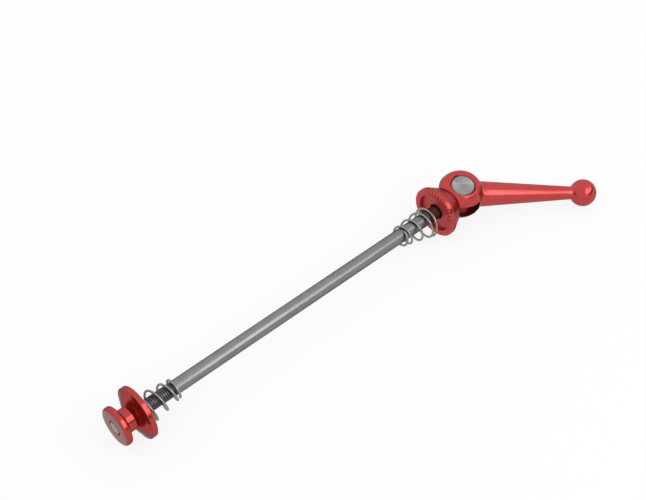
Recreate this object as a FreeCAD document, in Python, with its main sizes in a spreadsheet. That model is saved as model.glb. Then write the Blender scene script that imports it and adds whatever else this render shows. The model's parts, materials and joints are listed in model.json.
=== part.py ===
import FreeCAD
import Part
import Sketcher
import math
import os
import re

# Sizes in millimetres and degrees

SIZES = [
    ("rod_radius", 2.5),
    ("rod_edge", 0.4),
    ("clamp_gap", 130.0),
    ("clamp_radius", 9.5),
    ("clamp_edge", 0.35),
    ("tooth_count", 40),
    ("tooth_start", 7.6),
    ("cap_tooth_width", 0.9),
    ("cap_tooth_depth", 0.45),
    ("nut_tooth_width", 0.6),
    ("nut_tooth_depth", 0.3),
    ("cap_length", 6.4),
    ("cap_side", 1.8),
    ("cap_back_radius", 6.8),
    ("cap_rim_round", 0.4),
    ("cap_bore_fit", 0.5),
    ("cap_recess_radius", 7.2),
    ("cap_recess_taper", 0.3),
    ("cap_recess_depth", 1.2),
    ("dish_extra", 1.65),
    ("dish_gap", 0.42),
    ("cap_web", 3.35),
    ("pin_radius", 4.4),
    ("pin_length", 12.4),
    ("pin_edge", 0.4),
    ("pin_dimple_radius", 0.6),
    ("pin_dimple_depth", 0.5),
    ("pin_seat_depth", 2.8),
    ("pin_seat_fit", 0.02),
    ("pin_turn_fit", 0.05),
    ("cam_offset", 0.6),
    ("lever_angle", 35.7),
    ("lever_reach", 46.0),
    ("head_radius", 8.6),
    ("head_thickness", 12.6),
    ("head_round", 0.8),
    ("slot_reach", 6.2),
    ("slot_fit", 0.25),
    ("bore_edge", 0.3),
    ("handle_root_radius", 4.65),
    ("handle_tip_radius", 2.35),
    ("handle_root_round", 1.5),
    ("handle_tip_round", 0.8),
    ("ball_radius", 4.95),
    ("nut_length", 10.2),
    ("flange_width", 2.0),
    ("flange_front_round", 0.5),
    ("flange_back_round", 0.25),
    ("cone_length", 2.3),
    ("waist_radius", 4.15),
    ("waist_round", 1.2),
    ("knob_width", 2.4),
    ("knob_radius", 7.0),
    ("knob_round", 0.7),
    ("knob_end_round", 0.9),
    ("nut_bore_fit", 0.05),
    ("nut_bore_edge", 0.3),
    ("nut_recess_radius", 6.9),
    ("nut_recess_depth", 0.3),
    ("spring_seat_gap", 0.05),
    ("spring_wire_radius", 0.4),
    ("spring_wide", 5.3),
    ("spring_narrow", 3.45),
    ("spring_length", 13.6),
    ("spring_turns", 4.3),
    ("spring_end_turns", 0.75),
    ("spring_blend_turns", 0.2),
    ("spring_points_per_turn", 16),
    ("lever_spring_stand", 3.2),
    ("lever_spring_start", 222.0),
    ("lever_spring_lean", 8.0),
    ("nut_spring_start", 88.0),
    ("nut_spring_lean", 2.5),
]

NAMES = [name for name, amount in SIZES]

doc = FreeCAD.newDocument("skewer")
sheet = doc.addObject("Spreadsheet::Sheet", "Sizes")
for row, (name, amount) in enumerate(SIZES, start=1):
    sheet.set("A%d" % row, name)
    sheet.set("B%d" % row, str(amount))
    sheet.setAlias("B%d" % row, name)
doc.recompute()


def linked(text):
    return re.sub("[a-z_]+", lambda word: "Sizes." + word[0] if word[0] in NAMES else word[0], text)


def size(text):
    result = sheet.evalExpression(linked(text))
    return float(getattr(result, "Value", result))


def bind(owner, path, text):
    owner.setExpression(path, linked(text))


# Where things lie: the rod is level, the end ball rests on the table beside it

ROLL = "asin((clamp_radius - ball_radius) / (lever_reach * sin(lever_angle) - cam_offset * cos(lever_angle)))"
HEAD_X = "(cap_recess_depth + cap_web + dish_gap + head_radius)"
PIN_X = "(%s - cam_offset * sin(lever_angle))" % HEAD_X
HEAD_Y = "(cam_offset * cos(lever_angle) * cos(%s))" % ROLL
HEAD_Z = "(cam_offset * cos(lever_angle) * sin(%s))" % ROLL
TIP_X = "(%s + lever_reach * cos(lever_angle) + ball_radius)" % HEAD_X
TIP_Y = "(%s - lever_reach * sin(lever_angle) * cos(%s) - ball_radius)" % (HEAD_Y, ROLL)
FACE_X = "((clamp_gap + nut_length - %s) / 2)" % TIP_X
AXIS_Y = "(-(clamp_radius + %s) / 2)" % TIP_Y
LEVEL = "rotation(vector(1; 0; 0); 0)"
ROLLED = "rotation(vector(1; 0; 0); %s)" % ROLL
SWUNG = "%s * rotation(vector(0; 0; 1); -lever_angle)" % ROLLED


def place(owner, along, turn, aside="0", above="0"):
    spot = "vector(%s + %s; %s + %s; clamp_radius + %s)" % (FACE_X, along, AXIS_Y, aside, above)
    bind(owner, "Placement", "placement(%s; %s)" % (spot, turn))


def new_body(name):
    body = doc.addObject("PartDesign::Body", name)
    body.Label = name
    return body


def origin_part(body, role):
    return [part for part in body.Origin.OriginFeatures if part.Role == role][0]


def new_sketch(body, name, plane):
    sketch = body.newObject("Sketcher::SketchObject", name)
    sketch.AttachmentSupport = [(origin_part(body, plane), "")]
    sketch.MapMode = "FlatFace"
    return sketch


def fix(sketch, kind, spot, text):
    rule = Sketcher.Constraint(kind, -1, 1, spot[0], spot[1], size(text))
    index = sketch.addConstraint(rule)
    bind(sketch, "Constraints[%d]" % index, text)


def add_arc(sketch, start, end, radius, side):
    chord = end - start
    left = FreeCAD.Vector(-chord.y, chord.x, 0).normalize()
    rise = math.sqrt(size(radius) ** 2 - (chord.Length / 2) ** 2)
    centre = (start + end) * 0.5 + left * rise * side
    first, last = (start, end) if side > 0 else (end, start)
    angles = [math.atan2(spot.y - centre.y, spot.x - centre.x) for spot in (first, last)]
    circle = Part.Circle(centre, FreeCAD.Vector(0, 0, 1), size(radius))
    index = sketch.addGeometry(Part.ArcOfCircle(circle, angles[0], angles[1]))
    rule = sketch.addConstraint(Sketcher.Constraint("Radius", index, size(radius)))
    bind(sketch, "Constraints[%d]" % rule, radius)
    return [(index, 1), (index, 2)] if side > 0 else [(index, 2), (index, 1)]


# A closed outline: each corner is (x, y), or (x, y, radius, side) where an arc leads to the next corner

def outline(sketch, corners):
    spots = [FreeCAD.Vector(size(corner[0]), size(corner[1]), 0) for corner in corners]
    ends = []
    for number, corner in enumerate(corners):
        start = spots[number]
        end = spots[(number + 1) % len(spots)]
        if len(corner) > 2:
            ends.append(add_arc(sketch, start, end, corner[2], corner[3]))
        else:
            index = sketch.addGeometry(Part.LineSegment(start, end))
            ends.append([(index, 1), (index, 2)])
    for number, corner in enumerate(corners):
        before = ends[number - 1][1]
        after = ends[number][0]
        sketch.addConstraint(Sketcher.Constraint("Coincident", *before, *after))
        fix(sketch, "DistanceX", after, corner[0])
        fix(sketch, "DistanceY", after, corner[1])


def rectangle(sketch, left, right, bottom, top):
    outline(sketch, [(left, bottom), (right, bottom), (right, top), (left, top)])


def circle(sketch, along, across, radius):
    index = sketch.addGeometry(Part.Circle(
        FreeCAD.Vector(size(along), size(across), 0), FreeCAD.Vector(0, 0, 1), size(radius)))
    rule = sketch.addConstraint(Sketcher.Constraint("Radius", index, size(radius)))
    bind(sketch, "Constraints[%d]" % rule, radius)
    fix(sketch, "DistanceX", (index, 3), along)
    fix(sketch, "DistanceY", (index, 3), across)


def turned(body, name, corners, plane="XY_Plane", axis="H_Axis"):
    sketch = new_sketch(body, name + "_profile", plane)
    outline(sketch, corners)
    feature = body.newObject("PartDesign::Revolution", name)
    feature.Profile = sketch
    feature.ReferenceAxis = (sketch, [axis])
    feature.Angle = 360
    doc.recompute()
    return feature


def cut_through(body, name, sketch):
    before = body.Shape.Volume
    feature = body.newObject("PartDesign::Pocket", name)
    feature.Profile = sketch
    feature.Type = "ThroughAll"
    feature.Midplane = True
    doc.recompute()
    if body.Shape.Volume > before - 0.01:
        raise RuntimeError(name + " cuts nothing")
    return feature


def edges_where(feature, wanted):
    doc.recompute()
    names = ["Edge%d" % number for number, edge in enumerate(feature.Shape.Edges, start=1) if wanted(edge)]
    if not names:
        raise RuntimeError("no edge found on " + feature.Name)
    return (feature, names)


def dress(body, kind, name, base, path, text):
    feature = body.newObject("PartDesign::" + kind, name)
    feature.Base = base
    bind(feature, path, text)
    doc.recompute()
    return feature


def is_ring(edge, x=None, z=None, radius=None):
    if edge.Degenerated or not isinstance(edge.Curve, Part.Circle):
        return False
    middle = edge.Curve.Center
    near = 0.001
    checks = [(x, middle.x), (z, abs(middle.z)), (radius, edge.Curve.Radius)]
    return all(aim is None or abs(aim - found) < near for aim, found in checks)


# Radial grooves cut across a clamp face that lies on the local x = 0 plane

def toothed(body, name, inward):
    sketch = new_sketch(body, name + "_groove_profile", "XY_Plane")
    bind(sketch, "AttachmentOffset.Base.z", "tooth_start")
    width = name + "_tooth_width"
    deep = "%d * %s_tooth_depth" % (inward, name)
    lift = "%d * %s_tooth_depth" % (-inward, name)
    outline(sketch, [(deep, "0"), (lift, width), (lift, "-" + width)][::-inward])
    before = body.Shape.Volume
    groove = body.newObject("PartDesign::Pocket", name + "_groove")
    groove.Profile = sketch
    groove.Reversed = True
    bind(groove, "Length", "clamp_radius")
    doc.recompute()
    if body.Shape.Volume > before - 0.001:
        raise RuntimeError(name + " groove cuts nothing")
    pattern = body.newObject("PartDesign::PolarPattern", name + "_teeth")
    pattern.Originals = [groove]
    pattern.Axis = (origin_part(body, "X_Axis"), [""])
    pattern.Angle = 360
    bind(pattern, "Occurrences", "tooth_count")
    body.Tip = pattern
    doc.recompute()


# Rod: seated in the cross pin at one end, flush with the knob of the nut at the other

ROD_LENGTH = "nut_length + clamp_gap + %s + pin_seat_depth" % PIN_X
rod = new_body("skewer_rod")
turned(rod, "rod_bar", [
    ("0", "0"),
    (ROD_LENGTH, "0"),
    (ROD_LENGTH, "rod_radius - rod_edge"),
    (ROD_LENGTH + " - rod_edge", "rod_radius"),
    ("rod_edge", "rod_radius"),
    ("0", "rod_radius - rod_edge"),
])
place(rod, "-clamp_gap - nut_length", LEVEL)

# Cross pin: a barrel along the local z axis, with centre dimples and a blind seat for the rod

pin = new_body("cross_pin")
turned(pin, "pin_barrel", [
    ("0", "-pin_length / 2 + pin_dimple_depth"),
    ("pin_dimple_radius", "-pin_length / 2"),
    ("pin_radius - pin_edge", "-pin_length / 2"),
    ("pin_radius", "-pin_length / 2 + pin_edge"),
    ("pin_radius", "pin_length / 2 - pin_edge"),
    ("pin_radius - pin_edge", "pin_length / 2"),
    ("pin_dimple_radius", "pin_length / 2"),
    ("0", "pin_length / 2 - pin_dimple_depth"),
], "XZ_Plane", "V_Axis")
seat_sketch = new_sketch(pin, "pin_seat_profile", "YZ_Plane")
bind(seat_sketch, "AttachmentOffset.Base.z", "pin_seat_depth")
circle(seat_sketch, "0", "0", "rod_radius + pin_seat_fit")
pin_seat = pin.newObject("PartDesign::Pocket", "pin_seat")
pin_seat.Profile = seat_sketch
pin_seat.Type = "ThroughAll"
place(pin, PIN_X, ROLLED)

# Lever: turned about the handle axis (local x), then flatted, slotted and bored across

ROOT_X = "sqrt(head_radius * head_radius - handle_root_radius * handle_root_radius)"
TIP_START_X = "lever_reach - sqrt(ball_radius * ball_radius - handle_tip_radius * handle_tip_radius)"
lever = new_body("lever")
lever_blank = turned(lever, "lever_blank", [
    ("-head_radius", "0"),
    ("lever_reach + ball_radius", "0", "ball_radius", 1),
    (TIP_START_X, "handle_tip_radius"),
    (ROOT_X, "handle_root_radius", "head_radius", 1),
])
root_ring = edges_where(lever_blank, lambda edge: is_ring(edge, radius=size("handle_root_radius")))
root_blend = dress(lever, "Fillet", "root_blend", root_ring, "Radius", "handle_root_round")
tip_ring = edges_where(root_blend, lambda edge: is_ring(edge, radius=size("handle_tip_radius")))
dress(lever, "Fillet", "tip_blend", tip_ring, "Radius", "handle_tip_round")

# The two flats of the head, each with a rounded rim that runs into the ball

RIM_Z = "(head_thickness / 2 - head_round)"
RIM_X = "sqrt((head_radius - head_round) * (head_radius - head_round) - %s * %s)" % (RIM_Z, RIM_Z)
LAND_X = "(%s * head_radius / (head_radius - head_round))" % RIM_X
LAND_Z = "(%s * head_radius / (head_radius - head_round))" % RIM_Z
flat_sketch = new_sketch(lever, "head_flat_profile", "XZ_Plane")
for up in (1, -1):
    outline(flat_sketch, [
        ("0", "%d * head_thickness / 2" % up),
        (RIM_X, "%d * head_thickness / 2" % up, "head_round", -up),
        (LAND_X, "%d * %s" % (up, LAND_Z)),
        (LAND_X + " + head_radius", "%d * (%s + head_radius)" % (up, LAND_Z)),
        ("0", "%d * (%s + head_radius)" % (up, LAND_Z)),
    ])
flats = lever.newObject("PartDesign::Groove", "head_flats")
flats.Profile = flat_sketch
flats.ReferenceAxis = (flat_sketch, ["V_Axis"])
flats.Angle = 360
doc.recompute()

slot_sketch = new_sketch(lever, "slot_profile", "XZ_Plane")
rectangle(slot_sketch, "-2 * head_radius", "slot_reach", "-rod_radius - slot_fit", "rod_radius + slot_fit")
cut_through(lever, "rod_slot", slot_sketch)
bore_sketch = new_sketch(lever, "pin_bore_profile", "XY_Plane")
circle(bore_sketch, "0", "-cam_offset", "pin_radius + pin_turn_fit")
pin_bore = cut_through(lever, "pin_bore", bore_sketch)
bore_rings = edges_where(pin_bore, lambda edge: is_ring(
    edge, z=size("head_thickness / 2"), radius=size("pin_radius + pin_turn_fit")))
dress(lever, "Chamfer", "bore_chamfer", bore_rings, "Size", "bore_edge")
place(lever, HEAD_X, SWUNG, HEAD_Y, HEAD_Z)

# Cap: clamp face at local x = 0, spring recess in front, dish for the ball head behind

DISH_RADIUS = "(head_radius + dish_extra)"
DISH_CENTRE_X = "(%s - head_radius - dish_gap + %s)" % (HEAD_X, DISH_RADIUS)
DISH_RIM = "sqrt(%s * %s - (%s - cap_length) * (%s - cap_length))" % (
    DISH_RADIUS, DISH_RADIUS, DISH_CENTRE_X, DISH_CENTRE_X)
CAP_BORE = "(rod_radius + cap_bore_fit)"
DISH_FLOOR_X = "(%s - sqrt(%s * %s - %s * %s))" % (DISH_CENTRE_X, DISH_RADIUS, DISH_RADIUS, CAP_BORE, CAP_BORE)
cap = new_body("lever_cap")
cap_blank = turned(cap, "cap_blank", [
    ("0", "cap_recess_radius"),
    ("cap_recess_depth", "cap_recess_radius - cap_recess_taper"),
    ("cap_recess_depth", CAP_BORE),
    (DISH_FLOOR_X, CAP_BORE, DISH_RADIUS, -1),
    ("cap_length", DISH_RIM),
    ("cap_length", "cap_back_radius"),
    ("cap_side", "clamp_radius"),
    ("clamp_edge", "clamp_radius"),
    ("0", "clamp_radius - clamp_edge"),
])
rim_ring = edges_where(cap_blank, lambda edge: is_ring(edge, x=size("cap_side"), radius=size("clamp_radius")))
dress(cap, "Fillet", "cap_rim", rim_ring, "Radius", "cap_rim_round")
toothed(cap, "cap", 1)
place(cap, "0", LEVEL)

# Nut: clamp face at local x = 0, flange, waist and knob towards local -x

KNOB_X = "(knob_width - nut_length)"
nut = new_body("nut")
turned(nut, "nut_blank", [
    ("0", "nut_recess_radius"),
    ("0", "clamp_radius - flange_front_round", "flange_front_round", 1),
    ("-flange_front_round", "clamp_radius"),
    ("flange_back_round - flange_width", "clamp_radius", "flange_back_round", 1),
    ("-flange_width", "clamp_radius - flange_back_round"),
    ("-flange_width - cone_length", "waist_radius"),
    (KNOB_X + " + waist_round", "waist_radius", "waist_round", -1),
    (KNOB_X, "waist_radius + waist_round"),
    (KNOB_X, "knob_radius - knob_round", "knob_round", 1),
    (KNOB_X + " - knob_round", "knob_radius"),
    ("knob_end_round - nut_length", "knob_radius", "knob_end_round", 1),
    ("-nut_length", "knob_radius - knob_end_round"),
    ("-nut_length", "rod_radius + nut_bore_fit + nut_bore_edge"),
    ("nut_bore_edge - nut_length", "rod_radius + nut_bore_fit"),
    ("-nut_recess_depth", "rod_radius + nut_bore_fit"),
    ("-nut_recess_depth", "nut_recess_radius"),
])
toothed(nut, "nut", -1)
place(nut, "-clamp_gap", LEVEL)


# Conical springs with closed ends: axial rise is held back over the end turns at both ends

def held(turn, limit, blend):
    if turn <= limit - blend:
        return 0.0
    if turn >= limit + blend:
        return turn - limit
    return (turn - limit + blend) ** 2 / (4 * blend)


def conical_spring(name, heading):
    wire = size("spring_wire_radius")
    wide = size("spring_wide")
    narrow = size("spring_narrow")
    rise = size("spring_length") - 2 * wire
    turns = size("spring_turns")
    end = size("spring_end_turns")
    blend = size("spring_blend_turns")
    count = int(round(turns * size("spring_points_per_turn")))
    spots = []
    for number in range(count + 1):
        turn = turns * number / count
        part = (held(turn, end, blend) - held(turn, turns - end, blend)) / (turns - 2 * end)
        radius = wide + (narrow - wide) * part
        angle = math.radians(size(name + "_start")) + heading * 2 * math.pi * turn
        along = heading * (wire + rise * part)
        spots.append(FreeCAD.Vector(along, radius * math.cos(angle), radius * math.sin(angle)))
    curve = Part.BSplineCurve()
    curve.interpolate(spots)
    path = Part.Wire([curve.toShape()])
    first = curve.tangent(curve.FirstParameter)[0]
    section = Part.Wire([Part.makeCircle(wire, spots[0], first)])
    pipe = Part.BRepOffsetAPI.MakePipeShell(path)
    pipe.setFrenetMode(True)
    pipe.add(section, False, False)
    pipe.build()
    pipe.makeSolid()
    coil = pipe.shape()
    expected = math.pi * wire ** 2 * path.Length
    if abs(coil.Volume - expected) > 0.02 * expected:
        raise RuntimeError("%s volume %.2f, expected %.2f" % (name, coil.Volume, expected))
    spring = doc.addObject("Part::Feature", name)
    spring.Label = name
    spring.Shape = coil
    return spring


# Both springs hang on the rod by their narrow coil, and the wide end sags

DROP = "(spring_seat_gap + rod_radius + spring_wire_radius - spring_narrow)"
SAG = "%s - (spring_length - spring_wire_radius) * sin(%%s)" % DROP
LEAN = "rotation(vector(0; 1; 0); %s)"
lever_spring = conical_spring("lever_spring", -1)
place(lever_spring, "-lever_spring_stand", LEAN % "lever_spring_lean", "0", SAG % "lever_spring_lean")
nut_spring = conical_spring("nut_spring", 1)
NUT_SEAT = "spring_seat_gap - nut_recess_depth - clamp_gap + spring_wide * sin(nut_spring_lean)"
place(nut_spring, NUT_SEAT, LEAN % "-nut_spring_lean", "0", SAG % "nut_spring_lean")

# Check every object, then write one file for each piece

doc.recompute()
for item in doc.Objects:
    if "Invalid" in item.State or "Error" in item.State:
        raise RuntimeError("%s is %s" % (item.Name, item.State))
pieces = [rod, pin, lever, cap, lever_spring, nut_spring, nut]
for piece in pieces:
    if not piece.Shape.isValid() or len(piece.Shape.Solids) != 1:
        raise RuntimeError("%s is not one valid solid" % piece.Label)
    print("%s volume %.2f" % (piece.Label, piece.Shape.Volume))
os.makedirs("parts", exist_ok=True)
for piece in pieces:
    piece.Shape.exportStep("parts/%s.step" % piece.Label)
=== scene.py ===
import json
import math
import bpy
from mathutils import Matrix, Quaternion, Vector


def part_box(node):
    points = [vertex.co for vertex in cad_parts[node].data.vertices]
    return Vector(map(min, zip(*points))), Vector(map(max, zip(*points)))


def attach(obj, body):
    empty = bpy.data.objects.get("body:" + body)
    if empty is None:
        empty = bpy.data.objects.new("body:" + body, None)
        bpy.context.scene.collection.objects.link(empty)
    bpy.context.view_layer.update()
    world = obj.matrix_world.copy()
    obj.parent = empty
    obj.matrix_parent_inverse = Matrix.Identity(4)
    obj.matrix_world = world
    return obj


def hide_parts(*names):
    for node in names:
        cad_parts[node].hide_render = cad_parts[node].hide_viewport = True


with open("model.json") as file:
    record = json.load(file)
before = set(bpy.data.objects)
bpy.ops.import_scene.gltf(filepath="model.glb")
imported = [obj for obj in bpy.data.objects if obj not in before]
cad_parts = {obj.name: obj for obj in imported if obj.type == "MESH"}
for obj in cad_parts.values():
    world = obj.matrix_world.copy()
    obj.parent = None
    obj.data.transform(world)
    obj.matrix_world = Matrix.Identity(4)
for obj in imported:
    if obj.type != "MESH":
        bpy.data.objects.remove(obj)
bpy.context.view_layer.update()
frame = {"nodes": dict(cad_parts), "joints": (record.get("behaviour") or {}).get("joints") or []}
print("frame loaded", sorted(frame["nodes"]))

# where the turned pieces sit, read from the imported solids
rodLow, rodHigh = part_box("skewer_rod")
rodAxisY = (rodLow.y + rodHigh.y) / 2
rodAxisZ = (rodLow.z + rodHigh.z) / 2
rodPlace = Matrix.Translation((0, rodAxisY, rodAxisZ))
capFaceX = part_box("lever_cap")[0].x
nutLow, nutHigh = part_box("nut")
swing = [joint for joint in frame["joints"] if joint["name"] == "lever_swing"][0]
pinCentre = Vector(swing["pos_m"])
pinAxis = Vector(swing["axis"]).normalized()

# weld joins points this near, margin is the play when faces are picked by place,
# facing is the least part of a face's normal along X, level is the play along X within a rim
meshWork = {"weld": 0.000002, "margin": 0.0001, "facing": 0.25, "level": 0.000001}


# helpers for meshes

def deselectAll():
    if bpy.context.object and bpy.context.object.mode != "OBJECT":
        bpy.ops.object.mode_set(mode="OBJECT")
    bpy.ops.object.select_all(action="DESELECT")


def makeActive(piece):
    deselectAll()
    piece.select_set(True)
    bpy.context.view_layer.objects.active = piece


def applyModifiers(piece):
    makeActive(piece)
    for modifier in list(piece.modifiers):
        bpy.ops.object.modifier_apply(modifier=modifier.name)


def settle(piece):  # put the place into the mesh
    makeActive(piece)
    bpy.ops.object.transform_apply(location=True, rotation=True, scale=True)


def smoothCopy(nodeName, pieceName, angle):  # a welded, smooth shaded copy of a solid
    piece = frame["nodes"][nodeName].copy()
    piece.data = frame["nodes"][nodeName].data.copy()
    for key in list(piece.keys()):
        del piece[key]
    piece.name = pieceName
    piece.parent = None
    bpy.context.scene.collection.objects.link(piece)
    makeActive(piece)
    bpy.ops.object.mode_set(mode="EDIT")
    bpy.ops.mesh.select_all(action="SELECT")
    bpy.ops.mesh.remove_doubles(threshold=meshWork["weld"])
    bpy.ops.mesh.customdata_custom_splitnormals_clear()
    bpy.ops.object.mode_set(mode="OBJECT")
    bpy.ops.object.shade_smooth_by_angle(angle=math.radians(angle))
    return piece


# helpers for materials

def addNode(tree, kind, **settings):
    node = tree.nodes.new(kind)
    for name, value in settings.items():
        setattr(node, name, value)
    return node


def feed(tree, value, socket):  # a number sets the socket, an output is linked to it
    if isinstance(value, (int, float)):
        socket.default_value = value
    else:
        tree.links.new(value, socket)


def mathNode(tree, operation, first, second=None):
    node = addNode(tree, "ShaderNodeMath", operation=operation)
    feed(tree, first, node.inputs[0])
    if second is not None:
        feed(tree, second, node.inputs[1])
    return node.outputs[0]


def rangeNode(tree, value, limits, low, high, kind="LINEAR"):  # low to high as the value passes the limits
    node = addNode(tree, "ShaderNodeMapRange", interpolation_type=kind)
    for name, amount in (("Value", value), ("From Min", limits[0]), ("From Max", limits[1]),
                         ("To Min", low), ("To Max", high)):
        feed(tree, amount, node.inputs[name])
    return node.outputs["Result"]


def newGroup(name, inputs, outputs):
    group = bpy.data.node_groups.new(name, "ShaderNodeTree")
    for title, kind in inputs:
        group.interface.new_socket(title, in_out="INPUT", socket_type=kind)
    for title, kind in outputs:
        group.interface.new_socket(title, in_out="OUTPUT", socket_type=kind)
    return group, group.nodes.new("NodeGroupInput"), group.nodes.new("NodeGroupOutput")


markDetail = {"stretch": 0.015, "markDetail": 3.0, "markRough": 0.7, "blotchDetail": 4.0,
              "markHeight": 0.8, "blotchHeight": 0.2}


def makeMarks(name, kind):  # marks left by the tool: rings about the local X axis, or streaks along it
    group, entry, leave = newGroup(
        name,
        [("Vector", "NodeSocketVector"), ("Fine", "NodeSocketFloat"), ("Cloud", "NodeSocketFloat")],
        [("Mark", "NodeSocketFloat"), ("Blotch", "NodeSocketFloat"), ("Height", "NodeSocketFloat")])
    link = group.links.new
    split = group.nodes.new("ShaderNodeSeparateXYZ")
    link(entry.outputs["Vector"], split.inputs[0])
    if kind == "rings":
        square = mathNode(group, "ADD", mathNode(group, "POWER", split.outputs[1], 2.0),
                          mathNode(group, "POWER", split.outputs[2], 2.0))
        mark = addNode(group, "ShaderNodeTexNoise", noise_dimensions="1D")
        link(mathNode(group, "ADD", mathNode(group, "SQRT", square), split.outputs[0]), mark.inputs["W"])
    else:
        stretch = group.nodes.new("ShaderNodeCombineXYZ")
        link(mathNode(group, "MULTIPLY", split.outputs[0], markDetail["stretch"]), stretch.inputs[0])
        link(split.outputs[1], stretch.inputs[1])
        link(split.outputs[2], stretch.inputs[2])
        mark = addNode(group, "ShaderNodeTexNoise", noise_dimensions="3D")
        link(stretch.outputs[0], mark.inputs["Vector"])
    mark.inputs["Detail"].default_value = markDetail["markDetail"]
    mark.inputs["Roughness"].default_value = markDetail["markRough"]
    link(entry.outputs["Fine"], mark.inputs["Scale"])
    blotch = addNode(group, "ShaderNodeTexNoise", noise_dimensions="3D")
    blotch.inputs["Detail"].default_value = markDetail["blotchDetail"]
    link(entry.outputs["Vector"], blotch.inputs["Vector"])
    link(entry.outputs["Cloud"], blotch.inputs["Scale"])
    link(mark.outputs["Fac"], leave.inputs["Mark"])
    link(blotch.outputs["Fac"], leave.inputs["Blotch"])
    markRise = mathNode(group, "MULTIPLY", mark.outputs["Fac"], markDetail["markHeight"])
    blotchRise = mathNode(group, "MULTIPLY", blotch.outputs["Fac"], markDetail["blotchHeight"])
    link(mathNode(group, "ADD", markRise, blotchRise), leave.inputs["Height"])
    return group


latheMarks = makeMarks("latheMarks", "rings")
drawnMarks = makeMarks("drawnMarks", "streaks")

# what a finish has unless it says otherwise; markShare is how much of the tone follows the tool marks
plainFinish = {"toneLimits": (0.3, 0.7), "glossLimits": (0.25, 0.75), "bumpDepth": 0.00001, "markShare": 0.3,
               "metallic": 1.0, "coat": 0.0, "coatRough": 0.1, "streak": 0.0, "edgeTone": 1.0}


def metalFinish(name, finish, place, group=latheMarks):  # place turns the marks onto the piece
    values = {**plainFinish, **finish}
    material = bpy.data.materials.new(name)
    material.use_nodes = True
    tree = material.node_tree
    shader = tree.nodes["Principled BSDF"]
    coords = addNode(tree, "ShaderNodeTexCoord")
    mapping = addNode(tree, "ShaderNodeMapping", vector_type="TEXTURE")
    mapping.inputs["Location"].default_value = place.to_translation()
    mapping.inputs["Rotation"].default_value = place.to_euler("XYZ")
    tree.links.new(coords.outputs["Object"], mapping.inputs["Vector"])
    marks = addNode(tree, "ShaderNodeGroup", node_tree=group)
    marks.inputs["Fine"].default_value = values["fine"]
    marks.inputs["Cloud"].default_value = values["cloud"]
    tree.links.new(mapping.outputs[0], marks.inputs["Vector"])
    tint = mathNode(tree, "ADD", mathNode(tree, "MULTIPLY", marks.outputs["Mark"], values["markShare"]),
                    mathNode(tree, "MULTIPLY", marks.outputs["Blotch"], 1 - values["markShare"]))
    tone = addNode(tree, "ShaderNodeValToRGB")
    for stop, position, colour in zip(tone.color_ramp.elements, values["toneLimits"], ("deep", "bright")):
        stop.position = position
        stop.color = (*values[colour], 1)
    tree.links.new(tint, tone.inputs["Fac"])
    tree.links.new(tone.outputs["Color"], shader.inputs["Base Color"])
    gloss = rangeNode(tree, marks.outputs["Mark"], values["glossLimits"],
                      values["roughLow"], values["roughHigh"])
    tree.links.new(gloss, shader.inputs["Roughness"])
    bump = addNode(tree, "ShaderNodeBump")
    bump.inputs["Strength"].default_value = values["bump"]
    bump.inputs["Distance"].default_value = values["bumpDepth"]
    tree.links.new(marks.outputs["Height"], bump.inputs["Height"])
    tree.links.new(bump.outputs["Normal"], shader.inputs["Normal"])
    shader.inputs["Metallic"].default_value = values["metallic"]
    shader.inputs["Coat Weight"].default_value = values["coat"]
    shader.inputs["Coat Roughness"].default_value = values["coatRough"]
    shader.inputs["Anisotropic"].default_value = values["streak"]
    shader.inputs["Specular Tint"].default_value = (values["edgeTone"],) * 3 + (1,)
    return material


def wear(piece, *materials):
    piece.data.materials.clear()
    for material in materials:
        piece.data.materials.append(material)


def wearBetween(piece, index, fromX, toX, side):  # for the faces in this stretch that look to this side
    for face in piece.data.polygons:
        if fromX < face.center.x < toX and face.normal.x * side > meshWork["facing"]:
            face.material_index = index


# red anodised aluminium on lever, cap and nut
redFinish = {"deep": (0.42, 0.034, 0.033), "bright": (0.49, 0.045, 0.043), "fine": 1800.0, "cloud": 220.0,
             "roughLow": 0.17, "roughHigh": 0.25, "bump": 0.04, "metallic": 0.95,
             "coat": 0.5, "coatRough": 0.16, "edgeTone": 0.35}
spoolFinish = {"deep": (0.36, 0.040, 0.036), "bright": (0.43, 0.052, 0.047), "fine": 1800.0, "cloud": 220.0,
               "roughLow": 0.19, "roughHigh": 0.28, "bump": 0.04, "metallic": 0.92,
               "coat": 0.3, "coatRough": 0.16, "edgeTone": 0.25}
blastFinish = {"deep": (0.46, 0.034, 0.034), "bright": (0.54, 0.046, 0.044), "fine": 2400.0, "cloud": 1600.0,
               "roughLow": 0.42, "roughHigh": 0.52, "bump": 0.1, "metallic": 0.6,
               "coat": 0.2, "coatRough": 0.35}
# end of the knob: a rougher satin facing, and a red darkened to paint the shade that falls on this face
endFinishPaintedShade = {"deep": (0.18, 0.024, 0.022), "bright": (0.23, 0.032, 0.029), "fine": 2400.0, "cloud": 1600.0,
             "roughLow": 0.36, "roughHigh": 0.46, "bump": 0.1, "metallic": 0.9,
             "coat": 0.32, "coatRough": 0.3}
turnedRed = metalFinish("turnedRed", spoolFinish, rodPlace)
blastedRed = metalFinish("blastedRed", blastFinish, rodPlace)  # matt clamp faces
facedRedPaintedShade = metalFinish("facedRedPaintedShade", endFinishPaintedShade, rodPlace)  # satin end of the knob, its red darkened as painted shade on this face

# lever: the marks run round the axis of its handle, which passes beside the pin
leverPiece = {"angle": -35.7, "camOffset": 0.0006, "smooth": 24}
rodLine = Vector((1, 0, 0))
rollTurn = Matrix((rodLine, pinAxis.cross(rodLine), pinAxis)).transposed().to_4x4()
leverTurn = rollTurn @ Matrix.Rotation(math.radians(leverPiece["angle"]), 4, "Z")
headCentre = pinCentre + leverTurn.to_3x3() @ Vector((0, leverPiece["camOffset"], 0))
leverRed = metalFinish("leverRed", redFinish, Matrix.Translation(headCentre) @ leverTurn)

lever = smoothCopy("lever", "camLever", leverPiece["smooth"])
wear(lever, leverRed)
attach(lever, "lever")
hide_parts("lever")
print("lever done")

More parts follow.
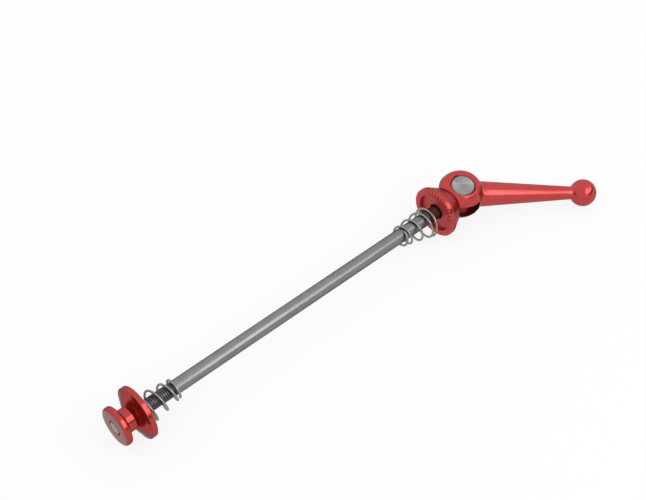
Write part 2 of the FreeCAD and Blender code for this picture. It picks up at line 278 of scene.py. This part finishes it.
# cap and nut: turned, with matt clamp faces
capPiece = {"smooth": 30, "mattDepth": 0.0014}
cap = smoothCopy("lever_cap", "leverCap", capPiece["smooth"])
wear(cap, turnedRed, blastedRed)
wearBetween(cap, 1, capFaceX - meshWork["margin"], capFaceX + capPiece["mattDepth"], -1)
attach(cap, "cap")
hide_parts("lever_cap")

nutPiece = {"smooth": 30, "mattDepth": 0.0005}
nut = smoothCopy("nut", "spoolNut", nutPiece["smooth"])
wear(nut, turnedRed, blastedRed, facedRedPaintedShade)
wearBetween(nut, 1, nutHigh.x - nutPiece["mattDepth"], nutHigh.x + meshWork["margin"], 1)
# the knob's end face takes the darkened red: painted shade on that side of the nut
wearBetween(nut, 2, nutLow.x - meshWork["margin"], nutLow.x + meshWork["margin"], -1)
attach(nut, "nut")
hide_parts("nut")
print("cap and nut done")

# turned steel pin across the head
pinPiece = {"smooth": 30}
pinFinish = {"deep": (0.24, 0.24, 0.24), "bright": (0.41, 0.41, 0.40), "fine": 2600.0, "cloud": 400.0,
             "roughLow": 0.40, "roughHigh": 0.52, "bump": 0.2, "streak": 0.9, "markShare": 0.6}
pinTurn = pinAxis.to_track_quat("X", "Z").to_matrix().to_4x4()
pinSteel = metalFinish("pinSteel", pinFinish, Matrix.Translation(pinCentre) @ pinTurn)
pin = smoothCopy("cross_pin", "crossPin", pinPiece["smooth"])
wear(pin, pinSteel)
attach(pin, "rod")
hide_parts("cross_pin")

# drawn wire springs
springPiece = {"smooth": 40}
wireFinish = {"deep": (0.24, 0.24, 0.225), "bright": (0.34, 0.34, 0.32), "fine": 2400.0, "cloud": 500.0,
              "roughLow": 0.22, "roughHigh": 0.34, "bump": 0.1, "edgeTone": 0.5}
springWire = metalFinish("springWire", wireFinish, rodPlace)
for nodeName, pieceName, body in (("lever_spring", "leverSpring", "spring"),
                                  ("nut_spring", "nutSpring", "nut_travel")):
    spring = smoothCopy(nodeName, pieceName, springPiece["smooth"])
    wear(spring, springWire)
    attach(spring, body)
    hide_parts(nodeName)
print("pin and springs done")

# rod: drawn shank, rolled thread at the nut end; the two turns keep corners of the joined pieces apart
rodPiece = {"radius": 0.0025, "sides": 48, "edge": 0.0004, "edgeSteps": 2, "smooth": 35,
            "threadCore": 0.00214, "threadFoot": 0.00207, "threadCrest": 0.00246,
            "footWidth": 0.00077, "crestWidth": 0.0002, "pitch": 0.0008, "stepsPerTurn": 40,
            "threadFromFace": 0.0127, "runOut": 0.0004, "spare": 0.001,
            "coreTurn": 1.7, "threadTurn": 2.3, "endDepth": 0.00001}
shankFinish = {"deep": (0.18, 0.18, 0.18), "bright": (0.26, 0.26, 0.26), "fine": 1600.0, "cloud": 300.0,
               "roughLow": 0.29, "roughHigh": 0.40, "bump": 0.06, "edgeTone": 0.2, "markShare": 0.6}
threadFinish = {"deep": (0.10, 0.09, 0.10), "bright": (0.16, 0.15, 0.16), "fine": 900.0, "cloud": 500.0,
                "roughLow": 0.3, "roughHigh": 0.45, "bump": 0.1, "edgeTone": 0.5}


def addShank(startX, endX, radius, turn=0.0):  # a round bar along X with both rims rounded
    deselectAll()
    bpy.ops.mesh.primitive_cylinder_add(vertices=rodPiece["sides"], radius=radius, depth=endX - startX,
                                        location=((startX + endX) / 2, rodAxisY, rodAxisZ),
                                        rotation=(0, math.pi / 2, 0))
    shank = bpy.context.object
    shank.rotation_euler.rotate_axis("Z", math.radians(turn))
    settle(shank)
    bpy.ops.object.mode_set(mode="EDIT")
    bpy.ops.mesh.select_all(action="DESELECT")
    bpy.ops.mesh.select_mode(type="EDGE")
    bpy.ops.object.mode_set(mode="OBJECT")
    for line in shank.data.edges:
        ends = [shank.data.vertices[index].co.x for index in line.vertices]
        line.select = abs(ends[0] - ends[1]) < meshWork["level"]
    bpy.ops.object.mode_set(mode="EDIT")
    bpy.ops.mesh.bevel(offset=rodPiece["edge"], segments=rodPiece["edgeSteps"])
    bpy.ops.object.mode_set(mode="OBJECT")
    return shank


def addThread(startX, turns):
    deselectAll()
    bpy.ops.mesh.primitive_plane_add(size=rodPiece["pitch"], location=(0, 0, 0))
    thread = bpy.context.object
    bpy.ops.object.mode_set(mode="EDIT")
    bpy.ops.mesh.select_all(action="SELECT")
    bpy.ops.mesh.delete(type="ONLY_FACE")
    bpy.ops.object.mode_set(mode="OBJECT")
    for corner in thread.data.vertices:  # outline of the tooth, with its foot below the core
        level = "crest" if corner.co.y > 0 else "foot"
        width = math.copysign(rodPiece[level + "Width"] / 2, corner.co.x)
        corner.co = (startX + width, 0, rodPiece["thread" + level.title()])
    screw = thread.modifiers.new("turns", "SCREW")
    screw.axis = "X"
    screw.angle = math.tau
    screw.screw_offset = rodPiece["pitch"]
    screw.iterations = turns
    screw.steps = screw.render_steps = rodPiece["stepsPerTurn"]
    screw.use_merge_vertices = True
    screw.merge_threshold = meshWork["weld"]
    applyModifiers(thread)
    bpy.ops.object.mode_set(mode="EDIT")
    bpy.ops.mesh.select_all(action="SELECT")
    bpy.ops.mesh.fill_holes(sides=4)  # close the two ends of the tooth
    bpy.ops.mesh.normals_make_consistent(inside=False)
    bpy.ops.object.mode_set(mode="OBJECT")
    thread.location = (0, rodAxisY, rodAxisZ)
    thread.rotation_euler.x = math.radians(rodPiece["threadTurn"])
    settle(thread)
    return thread


def combine(piece, other, operation):
    blend = piece.modifiers.new("blend", "BOOLEAN")
    blend.operation = operation
    blend.solver = "EXACT"
    blend.object = other
    applyModifiers(piece)
    bpy.data.objects.remove(other)


threadEnd = nutHigh.x + rodPiece["threadFromFace"]
turns = math.ceil((threadEnd - rodLow.x) / rodPiece["pitch"]) + 1
rod = addThread(threadEnd + rodPiece["runOut"] - turns * rodPiece["pitch"], turns)
rod.name = "threadedRod"
core = addShank(rodLow.x - rodPiece["spare"], threadEnd + rodPiece["spare"], rodPiece["threadCore"],
                rodPiece["coreTurn"])
combine(rod, core, "UNION")
envelope = addShank(rodLow.x, threadEnd + 2 * rodPiece["spare"], rodPiece["radius"])
combine(rod, envelope, "INTERSECT")  # rounds the end of the thread
shank = addShank(threadEnd, rodHigh.x, rodPiece["radius"])
combine(rod, shank, "UNION")
shankSteel = metalFinish("shankSteel", shankFinish, rodPlace, drawnMarks)
threadSteel = metalFinish("threadSteel", threadFinish, rodPlace)
facedSteel = metalFinish("facedSteel", pinFinish, rodPlace)  # end of the rod, faced like the pin
wear(rod, shankSteel, threadSteel, facedSteel)
for face in rod.data.polygons:
    face.material_index = 1 if face.center.x < threadEnd else 0
wearBetween(rod, 2, rodLow.x - meshWork["margin"], rodLow.x + rodPiece["endDepth"], -1)
makeActive(rod)
bpy.ops.object.shade_smooth_by_angle(angle=math.radians(rodPiece["smooth"]))
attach(rod, "rod")
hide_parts("skewer_rod")
print("rod done")

# pale floor: white to the eye and in the metal, and it keeps the shadow
studio = {"floorSize": 24.0, "floorTone": 0.72, "floorGlow": 0.84, "skyTone": 1.1, "flagTone": 0.12,
          "flagFoot": (0.16, 0.20), "flagTop": (0.36, 0.48), "flagSide": (-1.15, -0.75), "flagSlant": 0.8}
deselectAll()
bpy.ops.mesh.primitive_plane_add(size=studio["floorSize"], location=(0, 0, 0))
floor = bpy.context.object
floor.name = "paleFloor"
floorPaint = bpy.data.materials.new("floorPaint")
floorPaint.use_nodes = True
floorTree = floorPaint.node_tree
floorTree.nodes.remove(floorTree.nodes["Principled BSDF"])
matte = addNode(floorTree, "ShaderNodeBsdfDiffuse")
matte.inputs["Color"].default_value = (studio["floorTone"],) * 3 + (1,)
glow = addNode(floorTree, "ShaderNodeEmission")
glow.inputs["Strength"].default_value = 1.0
lightPath = addNode(floorTree, "ShaderNodeLightPath")
seen = mathNode(floorTree, "MAXIMUM", lightPath.outputs["Is Camera Ray"], lightPath.outputs["Is Glossy Ray"])
seen = mathNode(floorTree, "MAXIMUM", seen, lightPath.outputs["Is Transmission Ray"])
glowShare = mathNode(floorTree, "MULTIPLY", seen, studio["floorGlow"])
floorMix = addNode(floorTree, "ShaderNodeMixShader")
floorTree.links.new(glowShare, floorMix.inputs[0])
floorTree.links.new(matte.outputs[0], floorMix.inputs[1])
floorTree.links.new(glow.outputs[0], floorMix.inputs[2])
floorTree.links.new(floorMix.outputs[0], floorTree.nodes["Material Output"].inputs["Surface"])
wear(floor, floorPaint)

# white sky with a dark flag at the front right, clear above and below it
world = bpy.context.scene.world or bpy.data.worlds.new("studioWorld")
bpy.context.scene.world = world
world.use_nodes = True
worldTree = world.node_tree
worldTree.nodes.clear()
skyOut = addNode(worldTree, "ShaderNodeOutputWorld")
sky = addNode(worldTree, "ShaderNodeBackground")
sky.inputs["Color"].default_value = (1, 1, 1, 1)
direction = addNode(worldTree, "ShaderNodeTexCoord")
skySplit = addNode(worldTree, "ShaderNodeSeparateXYZ")
worldTree.links.new(direction.outputs["Generated"], skySplit.inputs[0])
skyX, skyY, skyZ = skySplit.outputs
aside = mathNode(worldTree, "SUBTRACT", skyY, mathNode(worldTree, "MULTIPLY", skyX, studio["flagSlant"]))
skyLevel = rangeNode(worldTree, aside, studio["flagSide"], studio["flagTone"], studio["skyTone"],
                     "SMOOTHSTEP")
skyLevel = rangeNode(worldTree, skyZ, studio["flagTop"], skyLevel, studio["skyTone"], "SMOOTHSTEP")
skyLevel = rangeNode(worldTree, skyZ, studio["flagFoot"], studio["skyTone"], skyLevel, "SMOOTHSTEP")
worldTree.links.new(skyLevel, sky.inputs["Strength"])
worldTree.links.new(sky.outputs[0], skyOut.inputs["Surface"])

# two soft boxes
lamps = {
    "keyBox": {"place": (0.076, -0.61, 0.74), "aim": (0.076, 0, 0), "turn": -31,
               "size": (0.22, 0.80), "power": 1.95},
    "lowStrip": {"place": (0.42, -0.56, 0.53), "aim": (0, 0, 0), "turn": 0,
                 "size": (0.8, 0.30), "power": 1.35},
}
for lampName, lamp in lamps.items():
    light = bpy.data.lights.new(lampName, "AREA")
    light.shape = "RECTANGLE"
    light.size, light.size_y = lamp["size"]
    light.energy = lamp["power"]
    lampObject = bpy.data.objects.new(lampName, light)
    bpy.context.scene.collection.objects.link(lampObject)
    lampObject.location = lamp["place"]
    aimed = (Vector(lamp["aim"]) - Vector(lamp["place"])).to_track_quat("-Z", "Y")
    lampObject.rotation_euler = (aimed @ Quaternion((0, 0, 1), math.radians(lamp["turn"]))).to_euler()

# camera: angles in degrees, focal length in pixels of a picture of this width, shifts and distance in metres
viewpoint = {"elevation": 47.421, "yaw": 41.220, "roll": -0.521, "focal": 1459.77, "width": 646,
             "shiftRight": 0.0151003, "shiftUp": -0.0198886, "distance": 0.5027201,
             "sensor": 36.0, "nearest": 0.01}
elevation = math.radians(viewpoint["elevation"])
yaw = math.radians(viewpoint["yaw"])
forward = Vector((math.sin(yaw) * math.cos(elevation), math.cos(yaw) * math.cos(elevation),
                  -math.sin(elevation)))
level = Vector((math.cos(yaw), -math.sin(yaw), 0))
lean = Matrix.Rotation(math.radians(-viewpoint["roll"]), 3, forward)
right = lean @ level
up = lean @ level.cross(forward)
cameraData = bpy.data.cameras.new("studioCamera")
cameraData.sensor_fit = "HORIZONTAL"
cameraData.sensor_width = viewpoint["sensor"]
cameraData.lens = viewpoint["focal"] * viewpoint["sensor"] / viewpoint["width"]
cameraData.clip_start = viewpoint["nearest"]
camera = bpy.data.objects.new("studioCamera", cameraData)
bpy.context.scene.collection.objects.link(camera)
spot = -(right * viewpoint["shiftRight"] + up * viewpoint["shiftUp"] + forward * viewpoint["distance"])
camera.matrix_world = Matrix.Translation(spot) @ Matrix((right, up, -forward)).transposed().to_4x4()
bpy.context.scene.camera = camera
bpy.context.scene.view_settings.view_transform = "Standard"
print("stage done")
